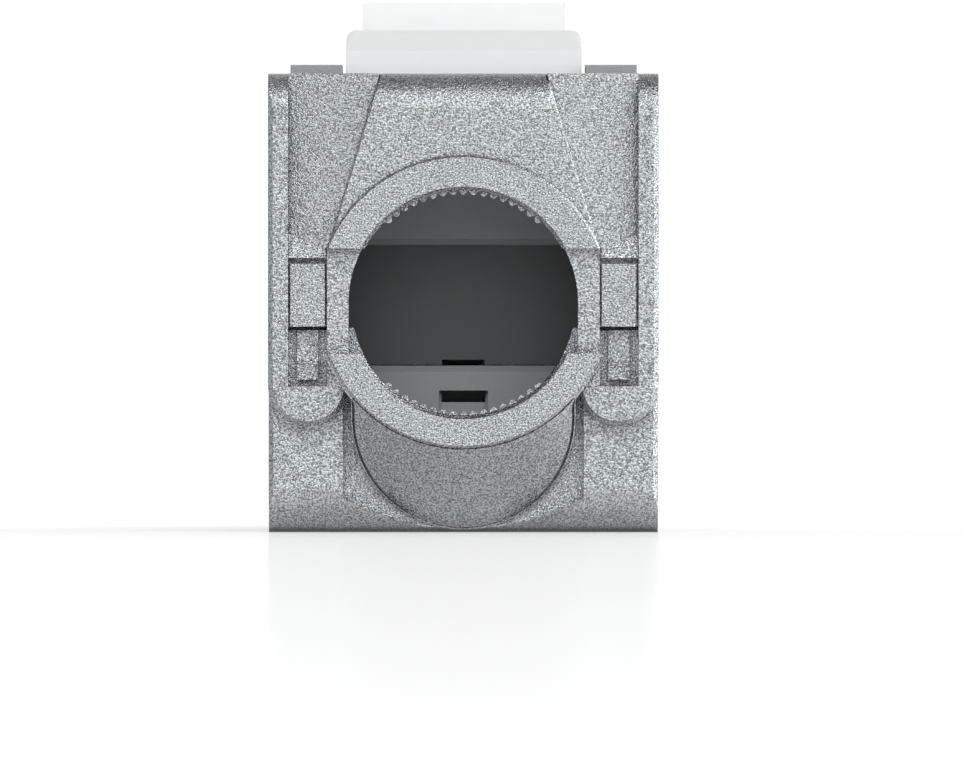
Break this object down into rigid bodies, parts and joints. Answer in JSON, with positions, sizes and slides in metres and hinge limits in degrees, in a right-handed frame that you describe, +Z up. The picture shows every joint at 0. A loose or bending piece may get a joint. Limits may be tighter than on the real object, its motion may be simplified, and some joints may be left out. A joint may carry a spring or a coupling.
{
  "type": "keystone jack",
  "caption": "Shielded keystone jack with a plug socket in its cast nose, a panel latch on top and hinged cable jaws behind that close into a toothed collar.",
  "frame": {"origin": "under the middle of the jack, on the surface that it stands on", "axes": "+Z up towards the panel latch, +Y towards the plug socket, cable collar on the -Y end"},
  "size_m": [0.0166, 0.035, 0.0228],
  "materials": {
    "cast_zinc": "bead-blasted and plated zinc die casting, satin grey",
    "white_plastic": "moulded, fine satin",
    "grey_plastic": "moulded, satin",
    "dark_plastic": "moulded, satin",
    "black_plastic": "moulded, satin",
    "gold_plate": "gold-plated phosphor bronze wire",
    "tinned_bronze": "tinned sheet, stamped",
    "spring_steel": "plain stainless strip",
    "board_laminate": "glass-fibre laminate under solder mask"
  },
  "bodies": {
    "housing": {"front_housing": "cast_zinc", "contact_insert": "black_plastic", "circuit_board": "board_laminate", "idc_block": "dark_plastic", "shield_spring_left": "spring_steel", "shield_spring_right": "spring_steel", "contact_1": "gold_plate", "contact_2": "gold_plate", "contact_3": "gold_plate", "contact_4": "gold_plate", "contact_5": "gold_plate", "contact_6": "gold_plate", "contact_7": "gold_plate", "contact_8": "gold_plate", "idc_1": "tinned_bronze", "idc_2": "tinned_bronze", "idc_3": "tinned_bronze", "idc_4": "tinned_bronze", "idc_5": "tinned_bronze", "idc_6": "tinned_bronze", "idc_7": "tinned_bronze", "idc_8": "tinned_bronze"},
    "upper_jaw": {"upper_jaw": "cast_zinc", "upper_presser": "grey_plastic"},
    "lower_jaw": {"lower_jaw": "cast_zinc", "lower_presser": "grey_plastic"},
    "latch": {"latch_lever": "white_plastic"}
  },
  "joints": [
    {"name": "upper_jaw_swing", "type": "hinge", "parent": "housing", "child": "upper_jaw", "pos_m": [0, 0.0005, 0.01725], "axis": [-1, 0, 0], "range_deg": [0, 80]},
    {"name": "lower_jaw_swing", "type": "hinge", "parent": "housing", "child": "lower_jaw", "pos_m": [0, 0.0005, 0.0022], "axis": [1, 0, 0], "range_deg": [0, 80]},
    {"name": "latch_press", "type": "hinge", "parent": "housing", "child": "latch", "pos_m": [0, 0.0154, 0.01735], "axis": [1, 0, 0], "range_deg": [0, 9], "stiffness_Nm_per_rad": 0.5}
  ],
  "couplings": [
    {"joint": "lower_jaw_swing", "follows": "upper_jaw_swing", "ratio": 1}
  ]
}
